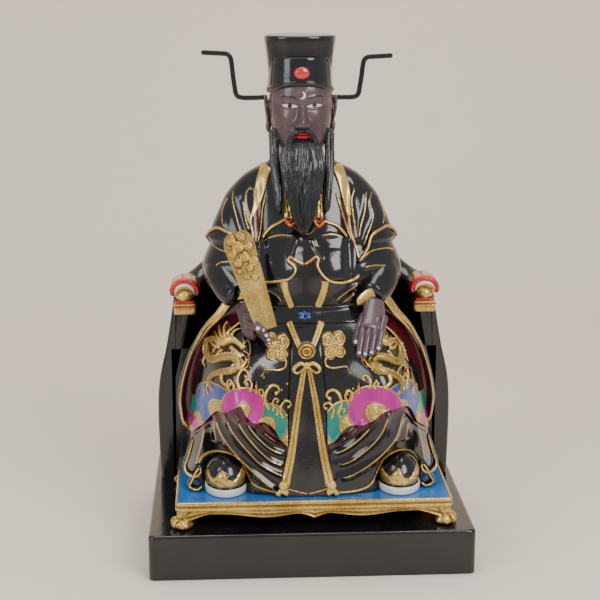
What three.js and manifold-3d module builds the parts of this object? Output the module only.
import * as THREE from 'three';
import { mergeVertices } from 'three/addons/utils/BufferGeometryUtils.js';
import Module from 'manifold-3d';

// Seated robed official in a closed armchair, feet on a low footstool, on a plain plinth.
// Millimetres, Z up, front towards minus Y, origin under the middle of the plinth.

// Driving dimensions
const PLINTH_W = 500;
const PLINTH_D = 380;
const PLINTH_H = 72;
const EDGE_R = 5;
const GAP = 0.35;
const CHAIR_FRONT_Y = 50;
const SEAT_Z = 300;
const WALL = 32;
const RAIL_FRONT_Z = 412;
const RAIL_RISE = 118;
const STOOL_TOP_Z = 115;
const STOOL_X = 4;
const STOOL_HALF_W = 213;
const STOOL_FRONT_Y = -165;
const STOOL_BACK_Y = 49;
const HEAD_X = -7;
const HEAD_Y = 28;
const CHIN_Z = 628;
const HAT_TOP_Z = 806;
const KNEE_X = 118;
const KNEE_SPREAD = 52;
const BODY_MID_Y = 20;
const BOOT_X = [-131, 139];
const TABLET_TOP = [-112, -72, 515];
const TABLET_LOW = [-66, -117, 374];

const wasm = await Module();
wasm.setup();

// Smooth value between table rows, first column is the key
function curve(rows, key, column) {
  const last = rows.length - 1;
  if (key <= rows[0][0]) return rows[0][column];
  if (key >= rows[last][0]) return rows[last][column];
  let i = 0;
  while (key > rows[i + 1][0]) i++;
  const slope = (k) => {
    const lo = Math.max(k - 1, 0);
    const hi = Math.min(k + 1, last);
    return (rows[hi][column] - rows[lo][column]) / (rows[hi][0] - rows[lo][0]);
  };
  const h = rows[i + 1][0] - rows[i][0];
  const t = (key - rows[i][0]) / h;
  const a = rows[i][column];
  const b = rows[i + 1][column];
  const t2 = t * t;
  const t3 = t2 * t;
  return a * (2 * t3 - 3 * t2 + 1) + b * (3 * t2 - 2 * t3)
    + h * (slope(i) * (t3 - 2 * t2 + t) + slope(i + 1) * (t3 - t2));
}

const bell = (x, width) => Math.exp(-((x / width) ** 2));
const clamp = (x, lo, hi) => Math.min(Math.max(x, lo), hi);
const smooth = (lo, hi, x) => {
  const t = clamp((x - lo) / (hi - lo), 0, 1);
  return t * t * (3 - 2 * t);
};
const range = (n) => Array.from({ length: n }, (_, i) => i);
const between = (a, b, t) => a + (b - a) * t;
const mix = (a, b, t) => a.map((v, i) => v + (b[i] - v) * t);

// Closed body through rings of equal length, with a fan cap at each end
function loft(rings) {
  const n = rings[0].length;
  const points = rings.flat();
  const index = [];
  for (let i = 0; i < rings.length - 1; i++) {
    for (let k = 0; k < n; k++) {
      const a = i * n + k;
      const b = i * n + ((k + 1) % n);
      index.push(a, b, b + n, a, b + n, a + n);
    }
  }
  for (const [row, flip] of [[0, true], [rings.length - 1, false]]) {
    const middle = [0, 1, 2].map((c) => rings[row].reduce((s, p) => s + p[c], 0) / n);
    points.push(middle);
    const m = points.length - 1;
    for (let k = 0; k < n; k++) {
      const a = row * n + k;
      const b = row * n + ((k + 1) % n);
      if (flip) index.push(m, b, a);
      else index.push(m, a, b);
    }
  }
  return closed(points, index);
}

// Geometry from points and faces, turned so that the faces look outward
function closed(points, index) {
  let volume = 0;
  for (let i = 0; i < index.length; i += 3) {
    const [a, b, c] = [points[index[i]], points[index[i + 1]], points[index[i + 2]]];
    volume += a[0] * (b[1] * c[2] - b[2] * c[1]) - a[1] * (b[0] * c[2] - b[2] * c[0])
      + a[2] * (b[0] * c[1] - b[1] * c[0]);
  }
  if (volume < 0) {
    for (let i = 0; i < index.length; i += 3) [index[i + 1], index[i + 2]] = [index[i + 2], index[i + 1]];
  }
  const geometry = new THREE.BufferGeometry();
  geometry.setAttribute('position', new THREE.Float32BufferAttribute(points.flat(), 3));
  geometry.setIndex(index);
  return geometry;
}

function solid(geometry) {
  const g = geometry.clone();
  g.deleteAttribute('normal');
  g.deleteAttribute('uv');
  const m = mergeVertices(g, 1e-4);
  const mesh = new wasm.Mesh({
    numProp: 3,
    vertProperties: new Float32Array(m.attributes.position.array),
    triVerts: new Uint32Array(m.index.array),
  });
  return new wasm.Manifold(mesh);
}

const join = (list) => list.map((g) => (g.isBufferGeometry ? solid(g) : g)).reduce((a, b) => a.add(b));

// Faces of the largest connected skin, so that no enclosed hollow is left inside
function outerSkin(tris, points) {
  const parent = Array.from({ length: points.length / 3 }, (_, i) => i);
  const root = (i) => {
    while (parent[i] !== i) {
      parent[i] = parent[parent[i]];
      i = parent[i];
    }
    return i;
  };
  for (let i = 0; i < tris.length; i += 3) {
    parent[root(tris[i])] = root(tris[i + 1]);
    parent[root(tris[i + 2])] = root(tris[i + 1]);
  }
  const volume = new Map();
  const at = (v) => new THREE.Vector3(points[3 * v], points[3 * v + 1], points[3 * v + 2]);
  for (let i = 0; i < tris.length; i += 3) {
    const six = at(tris[i]).dot(at(tris[i + 1]).cross(at(tris[i + 2])));
    const r = root(tris[i]);
    volume.set(r, (volume.get(r) || 0) + six / 6);
  }
  const best = [...volume.entries()].sort((a, b) => b[1] - a[1])[0][0];
  const kept = [];
  for (let i = 0; i < tris.length; i += 3) {
    if (root(tris[i]) === best) kept.push(tris[i], tris[i + 1], tris[i + 2]);
  }
  return kept;
}

// Sliver faces left by the joins are thinned: two neighbouring points become one
// where every plane around them stays within the reach, fine work keeps more
function thinned(body, goal, reach) {
  const m = body.getMesh();
  const flat = m.vertProperties;
  const tris = outerSkin([...m.triVerts], flat);
  const at = range(flat.length / 3).map((i) => new THREE.Vector3(flat[3 * i], flat[3 * i + 1], flat[3 * i + 2]));
  const faces = range(tris.length / 3).map((i) => [tris[3 * i], tris[3 * i + 1], tris[3 * i + 2]]);
  const around = at.map(() => new Set());
  const planes = at.map(() => []);
  const normal = (a, b, c) => new THREE.Vector3().crossVectors(b.clone().sub(a), c.clone().sub(a));
  faces.forEach((f, i) => {
    const n = normal(...f.map((v) => at[v]));
    const big = n.length();
    if (big > 1e-9) n.divideScalar(big);
    f.forEach((v) => {
      around[v].add(i);
      if (big > 0.02) planes[v].push([n, n.dot(at[v])]);
    });
  });
  const worst = (list, p) => list.reduce((w, [n, d]) => Math.max(w, Math.abs(n.dot(p) - d)), 0);
  const care = (p) => (p.z > 630 && p.y < 0 && p.z < 722 ? 3 : 1);
  let left = faces.length;
  for (let pass = 0; pass < 40 && left > goal; pass++) {
    const limit = reach * Math.min(1, 0.1 + pass * 0.06);
    const edges = [];
    faces.forEach((f) => {
      if (!f) return;
      for (const [a, b] of [[f[0], f[1]], [f[1], f[2]], [f[2], f[0]]]) {
        if (a > b) continue;
        const options = [at[a], at[b], at[a].clone().add(at[b]).multiplyScalar(0.5)];
        let best = null;
        for (const p of options) {
          const cost = Math.max(worst(planes[a], p), worst(planes[b], p)) * care(p) + 0.004 * at[a].distanceTo(at[b]);
          if (!best || cost < best.cost) best = { cost, p };
        }
        if (best.cost < limit) edges.push({ a, b, ...best });
      }
    });
    edges.sort((p, q) => p.cost - q.cost);
    const touched = new Set();
    for (const { a, b, p } of edges) {
      if (left <= goal) break;
      if (touched.has(a) || touched.has(b)) continue;
      const near = (v) => new Set([...around[v]].flatMap((i) => faces[i]));
      const [na, nb] = [near(a), near(b)];
      const both = [...na].filter((v) => nb.has(v) && v !== a && v !== b);
      const shared = [...around[a]].filter((i) => around[b].has(i));
      if (both.length !== 2 || shared.length !== 2) continue;
      const rest = [...around[a], ...around[b]].filter((i) => !shared.includes(i));
      const fits = rest.every((i) => {
        const before = normal(...faces[i].map((v) => at[v]));
        const corners = faces[i].map((v) => (v === a || v === b ? p : at[v]));
        const after = normal(...corners);
        const long = Math.max(...[0, 1, 2].map((k) => corners[k].distanceTo(corners[(k + 1) % 3])));
        if (after.length() < 0.03 * long * long) return after.length() > before.length() && before.dot(after) > 0;
        return before.length() < 0.02 || before.dot(after) > 0.6 * before.length() * after.length();
      });
      if (!fits) continue;
      for (const v of [...na, ...nb]) touched.add(v);
      at[a] = p.clone();
      planes[a] = [...planes[a], ...planes[b]];
      for (const i of shared) {
        faces[i].forEach((v) => around[v].delete(i));
        faces[i] = null;
        left--;
      }
      for (const i of around[b]) {
        faces[i] = faces[i].map((v) => (v === b ? a : v));
        around[a].add(i);
      }
      around[b] = new Set();
    }
  }
  return solid(closed(at.map((p) => [p.x, p.y, p.z]), faces.filter(Boolean).flat()));
}

function part(name, body, look) {
  const m = body.getMesh();
  const g = new THREE.BufferGeometry();
  g.setAttribute('position', new THREE.BufferAttribute(new Float32Array(m.vertProperties), 3));
  g.setIndex(outerSkin([...m.triVerts], m.vertProperties));
  g.computeVertexNormals();
  const mesh = new THREE.Mesh(g, new THREE.MeshStandardMaterial(look));
  mesh.name = name;
  return mesh;
}

// Tube of changing half sizes along a path, flat side held towards the front
function sweep(path, wide, thick, sides = 6) {
  const at = (i) => new THREE.Vector3(...path[clamp(i, 0, path.length - 1)]);
  const rings = path.map((p, i) => {
    const along = at(i + 1).sub(at(i - 1)).normalize();
    const front = Math.abs(along.y) > 0.9 ? new THREE.Vector3(0, 0, 1) : new THREE.Vector3(0, -1, 0);
    const side = new THREE.Vector3().crossVectors(along, front).normalize();
    const up = new THREE.Vector3().crossVectors(side, along).normalize();
    const t = i / (path.length - 1);
    const w = typeof wide === 'function' ? wide(t) : wide;
    const h = typeof thick === 'function' ? thick(t) : thick;
    return range(sides).map((k) => {
      const a = (2 * Math.PI * (k + 0.5)) / sides;
      const q = side.clone().multiplyScalar(w * Math.cos(a)).addScaledVector(up, h * Math.sin(a));
      return [p[0] + q.x, p[1] + q.y, p[2] + q.z];
    });
  });
  return loft(rings);
}

// Egg shaped body: centre, three half sizes, number of rings and ring points
function egg(c, r, rows = 6, cols = 8) {
  const rings = range(rows).map((i) => {
    const a = (Math.PI * (i + 0.6)) / (rows + 0.2) - Math.PI / 2;
    return range(cols).map((k) => {
      const b = (2 * Math.PI * k) / cols;
      return [c[0] + r[0] * Math.cos(a) * Math.cos(b), c[1] + r[1] * Math.cos(a) * Math.sin(b), c[2] + r[2] * Math.sin(a)];
    });
  });
  return loft(rings);
}

// Rounded rectangle ring
function slab(cx, cy, hw, hd, r, z, steps = 4) {
  const ring = [];
  for (const [sx, sy, start] of [[1, 1, 0], [-1, 1, 1], [-1, -1, 2], [1, -1, 3]]) {
    for (let i = 0; i <= steps; i++) {
      const a = (start + i / steps) * (Math.PI / 2);
      ring.push([cx + sx * (hw - r) + r * Math.cos(a), cy + sy * (hd - r) + r * Math.sin(a), z]);
    }
  }
  return ring;
}

// Plinth, plain block with softened edges
function plinth() {
  const w = PLINTH_W / 2;
  const d = PLINTH_D / 2;
  const rows = [[0, 2], [2, 0], [PLINTH_H - EDGE_R, 0], [PLINTH_H - 1.5, 1.5], [PLINTH_H, EDGE_R]];
  return solid(loft(rows.map(([z, inset]) => slab(0, 0, w - inset, d - inset, 9 - inset / 2, z, 2))));
}

// Chair shell, half width and depth by height
const CHAIR = [
  [72, 240, 126], [130, 241.5, 127], [203, 242, 127], [250, 238, 124],
  [300, 227, 118], [363, 216, 111], [400, 212, 108], [560, 212, 108],
];

function chairPoint(angle, z, inward, frontY) {
  const w = curve(CHAIR, clamp(z, 72, 560), 1) - inward;
  const d = curve(CHAIR, clamp(z, 72, 560), 2) - inward;
  const c = Math.cos(angle);
  const s = Math.sin(angle);
  return [-w * Math.sign(c) * Math.abs(c) ** 0.87, frontY + d * Math.abs(s) ** 0.87, z];
}

function chairWall(grow) {
  const frontY = CHAIR_FRONT_Y - grow;
  const foot = PLINTH_H + GAP;
  const rings = range(19).map((i) => {
    const angle = (Math.PI * i) / 18;
    const rail = RAIL_FRONT_Z + RAIL_RISE * Math.sin(angle) ** 4 + grow;
    const outline = [
      [foot, 0], [203, 0], [250, 0], [300, 0], [350, 0], [rail - 27, 0], [rail - 14, -5], [rail - 3, 0],
      [rail, 12], [rail - 4, 26], [rail - 15, WALL + 3], [rail - 27, WALL], [foot, WALL],
    ];
    return outline.map(([z, inward]) => chairPoint(angle, z, inward > 5 ? inward + grow : inward - grow, frontY));
  });
  return solid(loft(rings));
}

function chairSeat(grow) {
  const frontY = CHAIR_FRONT_Y - grow;
  const rings = [PLINTH_H + GAP, SEAT_Z + grow].map((z) => {
    const arc = range(11).map((i) => chairPoint((Math.PI * i) / 10, 250, 20, frontY));
    return arc.map((p) => [p[0], p[1], z]);
  });
  return solid(loft(rings));
}

// Scroll head at the front end of an arm
function scrollHead(side, grow) {
  const x = side * 194;
  const top = 402;
  const hood = [];
  for (let i = 0; i <= 7; i++) {
    const a = Math.PI * (i / 7) * 1.16 - 0.25;
    hood.push([x + 20 * Math.cos(a), 38, top + 2 + 18 * Math.sin(a)]);
  }
  const pieces = [
    sweep(hood, 5 + grow, 12 + grow, 4),
    egg([x, 36, top - 7], [13 + grow, 12 + grow, 11 + grow], 4, 8),
    loft([[380, 14], [384, 17], [390, 16], [400, 12]].map(([z, h]) => slab(x, 42, h + grow, 13 + grow, 3, z, 1))),
    loft([[362, 17], [364, 19], [376, 19], [380, 15]].map(([z, h]) => slab(x, 42, h + grow, 15 + grow, 3, z, 1))),
    loft([[398, 12], [404, 19], [418, 17], [424, 9]].map(([z, h]) => slab(x, 58, h + grow, 22 + grow, 5, z, 1))),
  ];
  return join(pieces);
}

const chair = (grow) => join([
  chairWall(grow), chairSeat(grow), scrollHead(-1, grow), scrollHead(1, grow),
]);

// Footstool: moulded board, shaped aprons and leaf feet, open underneath
function apron(from, to, along) {
  const base = PLINTH_H + 12;
  const length = to - from;
  const edge = range(17).map((i) => {
    const t = i / 16;
    const u = Math.abs(2 * t - 1);
    const drop = 13 * smooth(0.75, 1, u) + 7 * bell(u - 0.36, 0.2) + 9 * Math.max(0, 1 - u / 0.12) ** 1.4;
    return [from + length * t, base + 12 - drop];
  });
  const shape = new THREE.Shape();
  shape.moveTo(from, STOOL_TOP_Z - 12);
  for (const [u, v] of edge) shape.lineTo(u, v);
  shape.lineTo(to, STOOL_TOP_Z - 12);
  const g = new THREE.ExtrudeGeometry(shape, { depth: 8, bevelEnabled: false });
  g.rotateX(Math.PI / 2);
  if (along === 'y') g.rotateZ(Math.PI / 2);
  return g;
}

function stoolFoot(x, y, sx, sy) {
  const z0 = PLINTH_H + GAP;
  const rows = [
    [z0, 10, 0], [z0 + 4, 15, 1], [z0 + 9, 14, 1], [z0 + 14, 9, -1], [z0 + 20, 12, -3], [z0 + 28, 16, -6],
  ];
  const foot = loft(rows.map(([z, r, out]) => range(8).map((k) => {
    const a = (2 * Math.PI * k) / 8;
    return [x + sx * out + r * Math.cos(a), y + sy * out + r * Math.sin(a), z];
  })));
  const curl = range(5).map((i) => {
    const a = -0.4 + i * 1.1;
    const r = 6.5 - 0.8 * i;
    return [x + sx * (15 + r * Math.cos(a)), y + sy * (5 + 2 * Math.cos(a)), z0 + 8 + r * Math.sin(a)];
  });
  return [foot, sweep(curl, (t) => 4.5 - 2 * t, (t) => 6 - 2 * t, 4)];
}

function footstool() {
  const cy = (STOOL_FRONT_Y + STOOL_BACK_Y) / 2;
  const hd = (STOOL_BACK_Y - STOOL_FRONT_Y) / 2;
  const mould = [[98, 7], [100, 2], [103, 0], [106, 0.5], [107.5, 3], [109, 1], [113, 1], [STOOL_TOP_Z, 3]];
  const board = loft(mould.map(([z, inset]) => slab(STOOL_X, cy, STOOL_HALF_W - inset, hd - inset, 7, z, 2)));
  const [left, right] = [STOOL_X - STOOL_HALF_W, STOOL_X + STOOL_HALF_W];
  const front = apron(left + 8, right - 8, 'x');
  front.translate(0, STOOL_FRONT_Y + 13, 0);
  const sideA = apron(STOOL_FRONT_Y + 8, STOOL_BACK_Y - 4, 'y');
  sideA.translate(left + 5, 0, 0);
  const sideB = apron(STOOL_FRONT_Y + 8, STOOL_BACK_Y - 4, 'y');
  sideB.translate(right - 13, 0, 0);
  const feet = [
    ...stoolFoot(left + 12, STOOL_FRONT_Y + 11, -1, -1), ...stoolFoot(right - 12, STOOL_FRONT_Y + 11, 1, -1),
    ...stoolFoot(left + 12, STOOL_BACK_Y - 20, -1, 0.2), ...stoolFoot(right - 12, STOOL_BACK_Y - 20, 1, 0.2),
  ];
  return join([board, front, sideA, sideB, ...feet]);
}

// Robe below the belt: centre x, half width, front y at the middle, knee swell
const ROBE = [
  [115, 4, 203, -143, 0], [150, 4, 199, -139, 2], [175, 4, 197, -135, 12], [200, 3, 195, -130, 27],
  [250, 2, 190, -123, 52], [290, 0, 181, -117, 56], [313, -2, 172, -113, 48], [336, -3, 160, -106, 32],
  [360, -5, 146, -88, 20], [385, -6, 132, -66, 9], [410, -6, 118, -54, 2], [430, -6, 110, -50, 0],
];

// Curved hanging folds between the knees, and upright folds at the sides
function folds(x, z) {
  const reach = Math.hypot((z - 330) / 215, x / 150);
  const low = smooth(300, 240, z);
  const inner = bell(x, 112) ** 2;
  const swag = 3.6 * Math.cos(2 * Math.PI * (reach * 7.5)) * inner * smooth(0.42, 0.6, reach);
  const upright = (4 + 5 * smooth(190, 120, z)) * Math.cos(x / 8.2 + Math.sign(x) * z / 55) * smooth(95, 150, Math.abs(x));
  return low * (swag + upright);
}

function robeFront(x, z) {
  const cx = curve(ROBE, z, 1);
  const half = curve(ROBE, z, 2);
  const depth = BODY_MID_Y - curve(ROBE, z, 3);
  const u = Math.min(Math.abs((x - cx) / half), 1);
  const knee = bell(Math.abs(x - cx) - KNEE_X, KNEE_SPREAD) * curve(ROBE, z, 4) * (1 - u ** 8);
  return BODY_MID_Y - depth * (1 - u ** 2.4) ** (1 / 2.4) - knee - folds(x, z) * (1 - u ** 6);
}

function robe() {
  const n = 32;
  const levels = [
    STOOL_TOP_Z + GAP, 130, 146, 162, 178, 195, 212, 230, 250, 272, 295, 318, 342, 368, 396, 424,
  ];
  const rings = levels.map((z) => {
    const cx = curve(ROBE, z, 1);
    const half = curve(ROBE, z, 2);
    const ring = range(n + 1).map((k) => {
      const a = Math.PI * (k / n);
      const x = cx - half * Math.sign(Math.cos(a)) * Math.abs(Math.cos(a)) ** 0.8;
      return [x, robeFront(x, z), z];
    });
    return [...ring, [cx + half * 0.97, 70, z], [cx - half * 0.97, 70, z]];
  });
  return loft(rings);
}

// Upper body with the sleeve line: centre x, half width, front y, back y, power
const BUST = [
  [330, -5, 118, -50, 100, 2.6], [365, -6, 124, -60, 102, 2.6], [385, -6, 130, -63, 103, 2.6], [400, -6, 138, -62, 103, 2.6],
  [415, -6, 148, -60, 103, 2.5], [430, -6, 156, -58, 103, 2.4], [447, -6, 158.5, -55, 103, 2.4], [465, -6, 153, -50, 102, 2.4],
  [480, -6, 146, -45, 101, 2.4], [486, -6, 147, -42, 101, 2.4], [494, -6, 151, -40, 101, 2.4], [503, -6, 144.5, -37, 100, 2.4],
  [515, -6, 140, -33, 98, 2.4], [535, -6, 131, -27, 96, 2.3], [558, -6, 120, -20, 90, 2.2], [575, -6, 106, -14, 84, 2.1],
  [590, -6, 90, -8, 78, 2.1], [600, -6, 74, -4, 72, 2.1], [608, -6, 57, 0, 66, 2.1], [613, -6, 50, 2, 62, 2.1],
];

// Belly swell, chest hollow beside the coat edges and sleeve folds
function bustDetail(x, z) {
  const w = x + 6;
  const belly = 9 * bell(Math.abs(w) - 40, 38) * bell(z - 455, 30);
  const chest = 5 * bell(Math.abs(w) - 30, 30) * bell(z - 520, 40);
  const groove = -7 * bell(Math.abs(w) - 70, 7) * smooth(425, 450, z) * smooth(600, 570, z);
  const sleeve = 3.5 * Math.cos((Math.abs(w) - 100) / 4.2 + (z - 520) / 60) * smooth(82, 96, Math.abs(w));
  const creases = sleeve * smooth(600, 575, z) * smooth(395, 430, z);
  return belly + chest + groove + creases;
}

function bustFront(x, z) {
  const cx = curve(BUST, z, 1);
  const half = curve(BUST, z, 2);
  const mid = 30;
  const u = Math.min(Math.abs((x - cx) / half), 1);
  const p = curve(BUST, z, 5);
  return mid - (mid - curve(BUST, z, 3)) * (1 - u ** p) ** (1 / p) - bustDetail(x, z) * (1 - u ** 6);
}

function bust() {
  const n = 22;
  const levels = [330, 370, 400, 422, 440, 458, 472, 484, 494, 503, 518, 538, 558, 576, 592, 604, 613];
  const rings = levels.map((z) => {
    const cx = curve(BUST, z, 1);
    const half = curve(BUST, z, 2);
    const back = curve(BUST, z, 4);
    const p = curve(BUST, z, 5);
    const front = range(n + 1).map((k) => {
      const x = cx - half * Math.cos(Math.PI * (k / n));
      return [x, bustFront(x, z), z];
    });
    const rear = range(6).map((k) => {
      const a = Math.PI * ((k + 1) / 7);
      const x = cx + half * Math.cos(a);
      const u = Math.min(Math.abs(Math.cos(a)), 1);
      return [x, 30 + (back - 30) * (1 - u ** p) ** (1 / p) + 2.5 * Math.cos(x / 9) * smooth(0, 0.5, 1 - u), z];
    });
    return [...front, ...rear];
  });
  return loft(rings);
}

// Front of the whole dress at a place, used to lay ornament on it
function dressFront(x, z) {
  return Math.min(z < 428 ? robeFront(x, z) : 60, z > 335 ? bustFront(x, z) : 60);
}

// Raised plate laid on the dress, grid of x and z points, standing out by lift
function plate(nu, nv, place, lift, sink = 4) {
  const points = [];
  const at = (layer, i, j) => layer * nu * nv + i * nv + j;
  for (const layer of [0, 1]) {
    for (let i = 0; i < nu; i++) {
      for (let j = 0; j < nv; j++) {
        const [x, z] = place(i / (nu - 1), j / (nv - 1));
        const height = typeof lift === 'function' ? lift(i / (nu - 1), j / (nv - 1)) : lift;
        points.push([x, dressFront(x, z) + (layer ? sink : -height), z]);
      }
    }
  }
  const index = [];
  const quad = (a, b, c, d) => index.push(a, b, c, a, c, d);
  for (let i = 0; i < nu - 1; i++) {
    for (let j = 0; j < nv - 1; j++) {
      quad(at(0, i, j), at(0, i + 1, j), at(0, i + 1, j + 1), at(0, i, j + 1));
      quad(at(1, i, j), at(1, i, j + 1), at(1, i + 1, j + 1), at(1, i + 1, j));
    }
    quad(at(0, i, 0), at(1, i, 0), at(1, i + 1, 0), at(0, i + 1, 0));
    quad(at(0, i, nv - 1), at(0, i + 1, nv - 1), at(1, i + 1, nv - 1), at(1, i, nv - 1));
  }
  for (let j = 0; j < nv - 1; j++) {
    quad(at(0, 0, j), at(0, 0, j + 1), at(1, 0, j + 1), at(1, 0, j));
    quad(at(0, nu - 1, j), at(1, nu - 1, j), at(1, nu - 1, j + 1), at(0, nu - 1, j + 1));
  }
  return closed(points, index);
}

// Cord laid on the dress through x and z points
function cord(points, wide, thick, steps, lift = 1, sides = 5) {
  const line = new THREE.CatmullRomCurve3(points.map(([x, z]) => new THREE.Vector3(x, 0, z)));
  const path = line.getPoints(steps).map((p) => [p.x, dressFront(p.x, p.z) - lift, p.z]);
  return sweep(path, wide, thick, sides);
}

// Front panel, widening to the hem
function panel() {
  const place = (u, v) => {
    const z = STOOL_TOP_Z + 6 + (368 - STOOL_TOP_Z - 6) * v;
    const half = 25 + 13 * (1 - v) ** 1.3;
    return [-5.5 + half * (2 * u - 1), z];
  };
  return plate(5, 9, place, 5);
}

// Sash: two long ribbons, straps above, buckle and bow
function sash() {
  const out = [];
  for (const s of [-1, 1]) {
    out.push(cord([[-6 + 5 * s, 318], [-6 + 13 * s, 260], [-6 + 22 * s, 200], [-6 + 35 * s, 133]], (t) => 4.5 + 2 * t, 3.4, 6, 8, 4));
    out.push(cord([[-6 + 35 * s, 137], [-6 + 34 * s, 128], [-6 + 38 * s, 121]], 8, 5.5, 2, 8, 5));
    out.push(cord([[-6 + 25 * s, 377], [-6 + 10 * s, 346]], 5, 3, 2, 6, 4));
    out.push(cord([[-6 + 33 * s, 436], [-6 + 18 * s, 398]], 6, 3, 2, 1.5, 4));
    out.push(cord([[-6 + 2 * s, 318], [-6 + 12 * s, 325], [-6 + 19 * s, 318], [-6 + 14 * s, 308], [-6 + 2 * s, 315]], 3, 3.4, 5, 8, 4));
  }
  out.push(egg([-6, dressFront(-6, 334) - 6, 334], [10, 6, 14], 4, 8));
  out.push(egg([-6, dressFront(-6, 316) - 8, 316], [6, 6, 6], 3, 6));
  return out;
}

// Belt round the waist
function belt() {
  const place = (u, v) => [-6 + 96 * (2 * u - 1), 372 + 26 * v];
  return plate(9, 2, place, 4);
}

// Patterned band over the knees: scalloped upper edge, wavy lower edge
const BAND = [
  [22, 236, 188], [45, 246, 204], [70, 268, 228], [92, 288, 250], [118, 300, 262], [145, 293, 256], [165, 270, 236], [186, 236, 205],
];

function band(side) {
  const place = (u, v) => {
    const r = 22 + 164 * u;
    const top = curve(BAND, r, 1) + 7 * Math.abs(Math.sin((Math.PI * (r - 22)) / 27));
    const low = curve(BAND, r, 2) - 3 * Math.abs(Math.sin((Math.PI * (r - 22)) / 41));
    return [-2 + side * r, low + (top - low) * v];
  };
  return plate(17, 3, place, (u, v) => 4 + 5 * (1 - v) ** 2 + 2 * Math.sin(Math.PI * v));
}

// Curling wave crests above the band
function crests(side) {
  const list = [];
  for (const [r, z, h] of [[42, 252, 15], [64, 266, 20], [96, 298, 14], [146, 304, 15]]) {
    const path = range(5).map((i) => {
      const a = -1.4 + i * 1.2;
      const q = h * (0.55 - 0.06 * i);
      return [-2 + side * (r + q * Math.cos(a)), z + q * Math.sin(a) + 2 * i];
    });
    list.push(cord(path, (t) => 3 - 1.4 * t, 3, 5, 2, 3));
  }
  return list;
}

// Coiling dragon on the thigh
function dragon(side, cx, cz) {
  const turn = (list) => list.map(([x, z]) => [cx + side * x, cz + z]);
  const body = turn([[12, -44], [22, -34], [4, -26], [-14, -32], [-20, -20], [-6, -10], [14, -8], [24, 6], [16, 20], [-2, 18]]);
  const head = turn([[-2, 18], [-8, 24], [-18, 22], [-26, 14]]);
  const out = [
    cord(body, (t) => 3.4 + 4 * Math.sin(Math.PI * Math.min(t * 1.05, 1)), 6.5, 14, 1, 5),
    cord(head, (t) => 10.5 - 4 * t, (t) => 9 - 3 * t, 3, 3, 5),
  ];
  for (const [x, z, dx, dz] of [
    [-4, 28, 6, 15], [4, 22, 15, 8], [-20, 24, -10, 9], [24, 2, 12, -8], [-20, -16, -12, 6],
  ]) {
    const spike = turn([[x, z], [x + dx * 0.6, z + dz * 0.5], [x + dx, z + dz]]);
    out.push(cord(spike, (t) => 4.4 - 2.8 * t, 4.5, 1, 2, 3));
  }
  return out;
}

// Cloud motif beside the front panel
function cloud(cx, cz, side) {
  const lobes = [[-8, 8, 10], [8, 10, 10], [2, -4, 10]];
  const out = lobes.map(([x, z, r]) => {
    const [px, pz] = [cx + side * x, cz + z];
    return egg([px, dressFront(px, pz) + 1, pz], [r, 5, r], 3, 7);
  });
  const tail = [[2, -10], [-4, -18], [6, -24], [18, -20]].map(([x, z]) => [cx + side * x, cz + z]);
  out.push(cord(tail, 2.6, 3, 4, 1, 3));
  return out;
}

// Hanging sleeve: inner and outer edge by height, and where they stand front to back
const SLEEVE = [
  [185, 176, 188, -32, -24], [196, 170, 197, -40, -26], [215, 167, 202, -46, -26], [237, 165, 204, -52, -26],
  [274, 161, 198, -60, -28], [317, 150, 184, -70, -32], [340, 140, 172, -76, -36], [358, 126, 162, -78, -40],
  [376, 104, 146, -78, -46], [390, 88, 134, -76, -50], [402, 84, 118, -70, -52], [410, 88, 104, -62, -50],
];

function sleeve(side) {
  const shift = side > 0 ? 1 : -1;
  const rings = range(11).map((i) => {
    const z = 185 + (225 * i) / 10;
    const [inner, outer, yi, yo] = [1, 2, 3, 4].map((c) => curve(SLEEVE, z, c));
    const w = outer - inner;
    const hollow = 11 * smooth(186, 215, z) * smooth(412, 380, z);
    const outline = [
      [inner, yi + 12], [inner, yi], [inner + 0.12 * w, yi - 2], [inner + 0.26 * w, between(yi, yo, 0.3) + hollow],
      [inner + 0.74 * w, between(yi, yo, 0.75) + hollow], [inner + 0.86 * w, yo - 3], [outer, yo - 1],
      [outer + 2, yo + 10], [outer - 3, 25], [outer - 16, 49], [inner, 49],
    ];
    return outline.map(([x, y]) => [side * x + shift * 0.5, y, z]);
  });
  return loft(rings);
}

// Raised cuff band along the outer sleeve edge
function cuff(side) {
  const path = range(9).map((i) => {
    const z = 190 + (218 * i) / 8;
    return [side * (curve(SLEEVE, z, 2) - 1), curve(SLEEVE, z, 4) - 1, z];
  });
  const over = [[side * 96, -62, 410], [side * 84, -66, 404]];
  return sweep([...path, ...over], 4.5, 3, 4);
}

// Forearm inside its sleeve, from elbow to wrist
function forearm(side) {
  const path = [[124, 34, 444], [128, 8, 440], [124, -18, 430], [114, -42, 418], [103, -60, 409]];
  return sweep(path.map(([x, y, z]) => [side * x - 5, y, z]), (t) => 29 - 9 * t * t, (t) => 32 - 16 * t, 8);
}

// Short over sleeve ending in a flared point above the elbow
function overSleeve(side) {
  const place = [[148, 18, 494], [136, 2, 512], [124, -14, 506], [114, -22, 503], [106, -27, 498], [100, -36, 482], [86, -50, 466]];
  return sweep(place.map(([x, y, z]) => [side * x - 6, y, z]), 3.6, 3, 4);
}

// Coat edges: wide neck bands narrowing to piping, with turned lining
function coatEdge(side) {
  const wide = cord(
    [[-6 + side * 50, 606], [-6 + side * 63, 580], [-6 + side * 70, 552], [-6 + side * 77, 525]].map(([x, z]) => [x, z]),
    (t) => 8.5 - 4 * t * t, 3.4, 4, 1, 4);
  const thin = cord([[-6 + side * 77, 527], [-6 + side * 80, 500], [-6 + side * 80, 480], [-6 + side * 82, 455]], 3, 3, 4, 1.5, 4);
  return [wide, thin];
}

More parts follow.
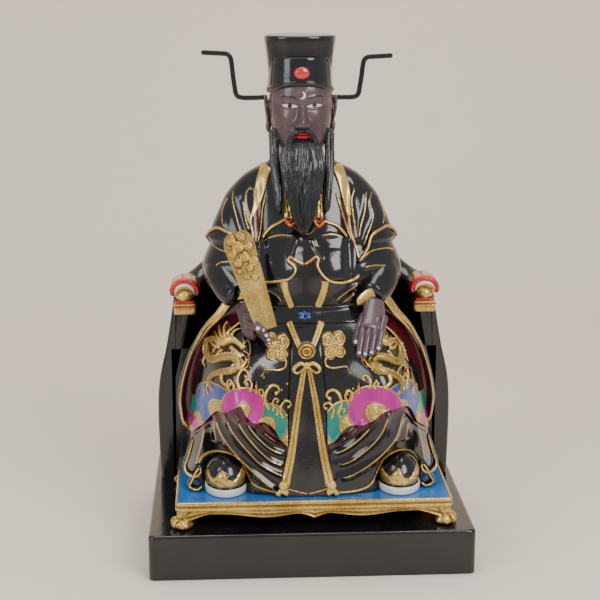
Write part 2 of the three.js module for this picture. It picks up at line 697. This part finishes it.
// Cape fronts: rounded lobes with a piped lower edge
function lobe(side) {
  const edge = [[86, 449], [70, 440], [52, 434], [37, 436], [26, 447], [28, 460], [23, 468], [12, 463], [0, 458]];
  const place = (u, v) => {
    const r = 24 + 60 * u;
    const low = 434 + 16 * (1 - smooth(0, 0.3, u)) + 14 * smooth(0.7, 1, u);
    return [-6 + side * r, low + (512 - 12 * (2 * u - 1) ** 2 - low) * v];
  };
  return [
    plate(7, 4, place, (u, v) => 6 * Math.sin(Math.PI * clamp(u, 0.06, 0.94)) * (1 - v), 4),
    cord(edge.map(([x, z]) => [-6 + side * x, z]), 2.8, 3.6, 11, 5, 4),
  ];
}

// Upper cape line with the turned collar ends
function capeLine(side) {
  const path = [[62, 505], [50, 516], [38, 524], [26, 530], [18, 526], [10, 532]];
  const collar = [[28, 578], [24, 556], [17, 534]];
  return [
    cord(path.map(([x, z]) => [-6 + side * x, z]), 2.6, 3, 6, 3, 4),
    cord(collar.map(([x, z]) => [-6 + side * x, z]), (t) => 5 + 2.5 * t, 3, 2, 3, 4),
  ];
}

// Boot with thick sole and upturned toe cap
function boot(x, toeY) {
  const rows = [
    [STOOL_TOP_Z + GAP, 32, 0], [127, 33, 1], [131, 30, -2], [145, 31, -1], [162, 24, -10], [173, 11, -26],
  ];
  const rings = rows.map(([z, r, out]) => range(14).map((k) => {
    const a = (2 * Math.PI * k) / 14;
    const c = Math.cos(a);
    const s = Math.sin(a);
    const y = s < 0 ? toeY + 38 + (38 + out) * s : toeY + 38 + 66 * s;
    return [x + (s < 0 ? r : 30) * c * (1 + 0.04 * s), y, z];
  }));
  return loft(rings);
}

// Piped arc of the hem over a boot
function hemArc(x, y) {
  const path = range(8).map((i) => {
    const a = Math.PI * (i / 7);
    return [x - 44 * Math.cos(a), y + 16 * Math.abs(Math.cos(a)), 132 + 48 * Math.sin(a)];
  });
  return sweep(path, 3.4, 4.5, 4);
}

// Scrolled hem end beside a boot
function hemScroll(side) {
  const cx = side > 0 ? 192 : -186;
  const path = range(6).map((i) => {
    const a = 0.6 + i * 1;
    const r = 14 - 1.8 * i;
    return [cx - side * (6 - r * Math.cos(a)), -70 - 18 * Math.sin(i / 5 * Math.PI), 128 + r * Math.sin(a) + 22 * (1 - i / 5)];
  });
  return sweep(path, 3.4, 4, 4);
}

// Head shape: half width, front and back reach by height
const HEAD = [
  [600, 40, 32, 42], [622, 36, 32, 40], [CHIN_Z, 35, 44, 42], [637, 39.5, 50, 46], [650, 43.5, 51.5, 52],
  [664, 46, 51.5, 57], [680, 48, 50, 60], [692, 48.5, 48.5, 61], [702, 48.5, 46.5, 62], [711, 49, 51, 62], [722, 49, 52.5, 62],
  [740, 46, 48, 58],
];

function headShape() {
  const rings = HEAD.map(([z, half, front, back]) => range(22).map((k) => {
    const t = k / 22;
    const a = 2 * Math.PI * t;
    const c = Math.cos(a);
    const s = Math.sin(a);
    const reach = s < 0 ? front : back;
    const x = half * Math.sign(c) * Math.abs(c) ** 0.92;
    const socket = s < 0 ? 4.5 * bell(Math.abs(x) - 18, 9) * bell(z - 701, 8) : 0;
    const cheek = s < 0 ? 2.5 * bell(Math.abs(x) - 28, 12) * bell(z - 682, 14) : 0;
    return [HEAD_X + x, HEAD_Y + reach * s + socket - cheek, z];
  }));
  return loft(rings);
}

// Face on plain school proportions: eyes at half height, nose and mouth below
function face() {
  const front = (z) => HEAD_Y - curve(HEAD, z, 2);
  const x = HEAD_X;
  const nose = loft([
    [668, 9, 6], [671, 10, 15], [676, 8.5, 17], [686, 5.5, 12], [698, 4, 7], [710, 4.5, 2],
  ].map(([z, w, out]) => [
    [x - w - 3, front(z) + 5, z], [x - w, front(z) - out * 0.35, z], [x - w * 0.4, front(z) - out, z],
    [x + w * 0.4, front(z) - out, z], [x + w, front(z) - out * 0.35, z], [x + w + 3, front(z) + 5, z],
  ]));
  const lips = [
    sweep([[x - 15, front(658) + 6, 657], [x - 6, front(658) - 2, 659.5], [x, front(658) - 2.5, 658.5], [x + 6, front(658) - 2, 659.5], [x + 15, front(658) + 6, 657]], 2.4, 3.4, 6),
    sweep([[x - 13, front(655) + 5, 656], [x, front(655) - 2.5, 653.5], [x + 13, front(655) + 5, 656]], 2.8, 3.6, 6),
  ];
  const out = [nose, ...lips];
  for (const s of [-1, 1]) {
    out.push(egg([x + s * 19, HEAD_Y - 39, 701], [10, 7, 5.6], 3, 8));
    out.push(sweep([[x + s * 7, front(711) + 1, 710], [x + s * 18, front(711) + 1.5, 715], [x + s * 31, front(711) + 12, 711]], 3, 3.5, 5));
    out.push(egg([x + s * 50, HEAD_Y + 8, 688], [6, 11, 20], 4, 6));
    out.push(egg([x + s * 51, HEAD_Y + 4, 668], [5, 7, 11], 3, 5));
  }
  return out;
}

// Long beard, moustache ends and two side locks
function hair() {
  const x = HEAD_X;
  const rows = [
    [646, 25, 8, -24], [630, 31, 17, -26], [606, 32, 17, -32], [572, 26, 14, -41], [540, 17, 10, -49], [510, 5, 4, -56],
  ];
  const beard = loft(rows.map(([z, w, d, y]) => range(14).map((k) => {
    const a = (2 * Math.PI * k) / 14;
    const strand = 1 + 0.07 * Math.cos(6 * a);
    return [x + w * strand * Math.cos(a), y + d * strand * Math.sin(a), z];
  })));
  const out = [beard];
  for (const s of [-1, 1]) {
    out.push(sweep([[x + s * 5, -32, 664], [x + s * 16, -29, 658], [x + s * 22, -26, 642], [x + s * 23, -30, 618]], (t) => 3.4 - 1.4 * t, 4, 4));
    out.push(sweep([[x + s * 42, 4, 652], [x + s * 42, -6, 620], [x + s * 40, -20, 590], [x + s * 37, -32, 556]], (t) => 6.5 - 2 * t, 7, 5));
  }
  return out;
}

// Two tier hat: flared rear crown and lower front tier with arched brim
function hat() {
  const ring = (z, hw, front, back, arch) => range(20).map((k) => {
    const a = (2 * Math.PI * k) / 20;
    const c = Math.cos(a);
    const s = Math.sin(a);
    const x = hw * Math.sign(c) * Math.abs(c) ** 0.85;
    const lift = arch * (s < 0 ? Math.abs(s) ** 2 : 0);
    return [HEAD_X - 1 + x, HEAD_Y + 4 + (s < 0 ? front : back) * s, z + lift];
  });
  const crown = loft([
    ring(714, 48, 40, 62, 0), ring(765, 51, 44, 58, 0), ring(802, 55.5, 47, 57, 0), ring(HAT_TOP_Z, 52, 44, 54, 0),
  ]);
  const tier = loft([
    ring(718, 50.5, 56, 50, 13), ring(724, 52.5, 59, 50, 12), ring(732, 51, 57.5, 50, 9), ring(768, 48, 54, 44, 2), ring(773, 45, 51, 40, 1),
  ]);
  return [crown, tier];
}

// Hand with palm, four fingers and thumb
function hand(wrist, knuckle, tip, across, spread) {
  const palm = [wrist, mix(wrist, knuckle, 0.5), knuckle, mix(knuckle, tip, 0.2)];
  const out = [sweep(palm, (t) => 14 + 8 * Math.sin(1.6 * t), (t) => 12 - 4 * t, 6)];
  for (const k of [-1.5, -0.5, 0.5, 1.5]) {
    const root = knuckle.map((v, i) => v + across[i] * k * 10.5);
    const end = tip.map((v, i) => v + across[i] * k * spread + (i === 2 ? Math.abs(k) * 3 : 0));
    const bend = mix(root, end, 0.5).map((v, i) => v + (i === 1 ? -3 : i === 2 ? 4 : 0));
    out.push(sweep([root, bend, end], (t) => 6.2 - 1.8 * t, (t) => 6.4 - 1.6 * t, 5));
  }
  return out;
}

function hands() {
  const right = hand([103, -60, 404], [96, -110, 375], [84, -146, 337], [1, 0.05, 0.12], 9.5);
  right.push(sweep([[86, -84, 388], [73, -110, 366], [68, -126, 350]], (t) => 7 - 1.8 * t, 6.5, 5));
  const left = hand([-99, -62, 400], [-86, -98, 375], [-62, -125, 360], [0.42, 0.2, -0.88], 8.5);
  left.push(sweep([[-98, -84, 388], [-94, -110, 380], [-74, -131, 378]], (t) => 7.4 - 1.8 * t, 6.4, 5));
  return [...right, ...left];
}

// Held tablet: thin, gently curved plate, rounded at the top
function tablet(grow) {
  const top = new THREE.Vector3(...TABLET_TOP);
  const low = new THREE.Vector3(...TABLET_LOW);
  const long = top.clone().sub(low).normalize();
  const facing = new THREE.Vector3(0.1, -1, 0).normalize();
  const across = new THREE.Vector3().crossVectors(long, facing).normalize();
  const out = new THREE.Vector3().crossVectors(across, long).normalize();
  const span = top.distanceTo(low);
  const rings = range(9).map((i) => {
    const t = i / 8;
    const half = (16.5 + 8.5 * t) * Math.sqrt(Math.max(1 - Math.max((t - 0.86) / 0.14, 0) ** 2 * 0.72, 0.02)) + grow;
    const bow = 5 * Math.sin(Math.PI * t);
    const centre = low.clone().addScaledVector(long, span * t + (t > 0.5 ? grow : -grow));
    centre.addScaledVector(out, bow);
    return [[-1, -1], [1, -1], [1, 0.4], [0.6, 1], [-0.6, 1], [-1, 0.4]].map(([u, v]) => {
      const q = centre.clone().addScaledVector(across, half * u).addScaledVector(out, (4 + grow) * v);
      return [q.x, q.y, q.z];
    });
  });
  return solid(loft(rings));
}

// Hat wing: flat strip, out from the hat, stepping up and out again
function wing(side) {
  const x0 = HEAD_X - 1;
  const drop = side > 0 ? -6 : 0;
  const path = [
    [46, 707], [60, 706], [86, 706], [95, 709], [98, 716], [101, 740 + drop / 2], [104, 766 + drop],
    [108, 773 + drop], [115, 775 + drop], [151, 777 + drop],
  ];
  const shift = side < 0 ? -3 : -2;
  const rings = path.map(([r, z], i) => {
    const a = path[Math.max(i - 1, 0)];
    const b = path[Math.min(i + 1, path.length - 1)];
    const d = Math.hypot(b[0] - a[0], b[1] - a[1]);
    const [nx, nz] = [-(b[1] - a[1]) / d, (b[0] - a[0]) / d];
    return [[-4, -2], [4, -2], [4, 2], [-4, 2]].map(([u, v]) => [x0 + side * (r + nx * u) + shift, 66 + v * 2.2, z + nz * u]);
  });
  return solid(loft(rings));
}

// Slot in the hat that the root of a wing is set into
function wingSlot(side) {
  const corners = [[-4.5, -6.2], [4.5, -6.2], [4.5, 6.2], [-4.5, 6.2]];
  return solid(loft([40, 60].map((r) => corners.map(([u, v]) => [HEAD_X - 1 + side * r, 66 + v, 706.6 + u]))));
}

// Oval stone on the front of the hat
function jewel(grow) {
  return solid(egg([HEAD_X - 1, HEAD_Y - 53.5, 751], [12 + grow, 5 + grow, 9.5 + grow], 5, 12));
}

// Assembly
const chairBody = chair(0);
const stool = thinned(footstool(), 900, 0.25);
const wings = [wing(-1), wing(1)];
const stone = jewel(0);
let figure = join([
  robe(), bust(), panel(), ...sash(), belt(), headShape(), ...face(), ...hair(), ...hat(), ...hands(),
  ...[-1, 1].flatMap((s) => [
    sleeve(s), cuff(s), forearm(s), overSleeve(s), ...coatEdge(s), ...lobe(s), ...capeLine(s), band(s), ...crests(s), hemScroll(s),
  ]),
  ...dragon(-1, -122, 340), ...dragon(1, 104, 338), ...cloud(-50, 322, 1), ...cloud(40, 326, -1),
  boot(BOOT_X[0], -146), boot(BOOT_X[1], -150), hemArc(BOOT_X[0], -118), hemArc(BOOT_X[1], -118),
]);
figure = thinned(figure, 6800, 0.9);
const standing = solid(loft([90, STOOL_TOP_Z + GAP].map((z) => slab(0, -60, 240, 130, 2, z, 1))));
figure = figure.subtract(standing).subtract(chair(GAP)).subtract(tablet(GAP)).subtract(jewel(GAP));
figure = figure.subtract(join([wingSlot(-1), wingSlot(1)]));

const statue = new THREE.Group();
statue.name = 'seated_official_statue';
const black = { color: 0x0c0d12, roughness: 0.22, metalness: 0 };
statue.add(part('plinth', plinth(), black));
statue.add(part('chair', chairBody, black));
statue.add(part('footstool', stool, { color: 0x2873be, roughness: 0.4, metalness: 0 }));
statue.add(part('figure', figure, black));
statue.add(part('tablet', tablet(0), { color: 0xc9a53c, roughness: 0.4, metalness: 0.2 }));
statue.add(part('left_wing', wings[0], black));
statue.add(part('right_wing', wings[1], black));
statue.add(part('hat_jewel', stone, { color: 0xdc1e28, roughness: 0.2, metalness: 0 }));
export default statue;
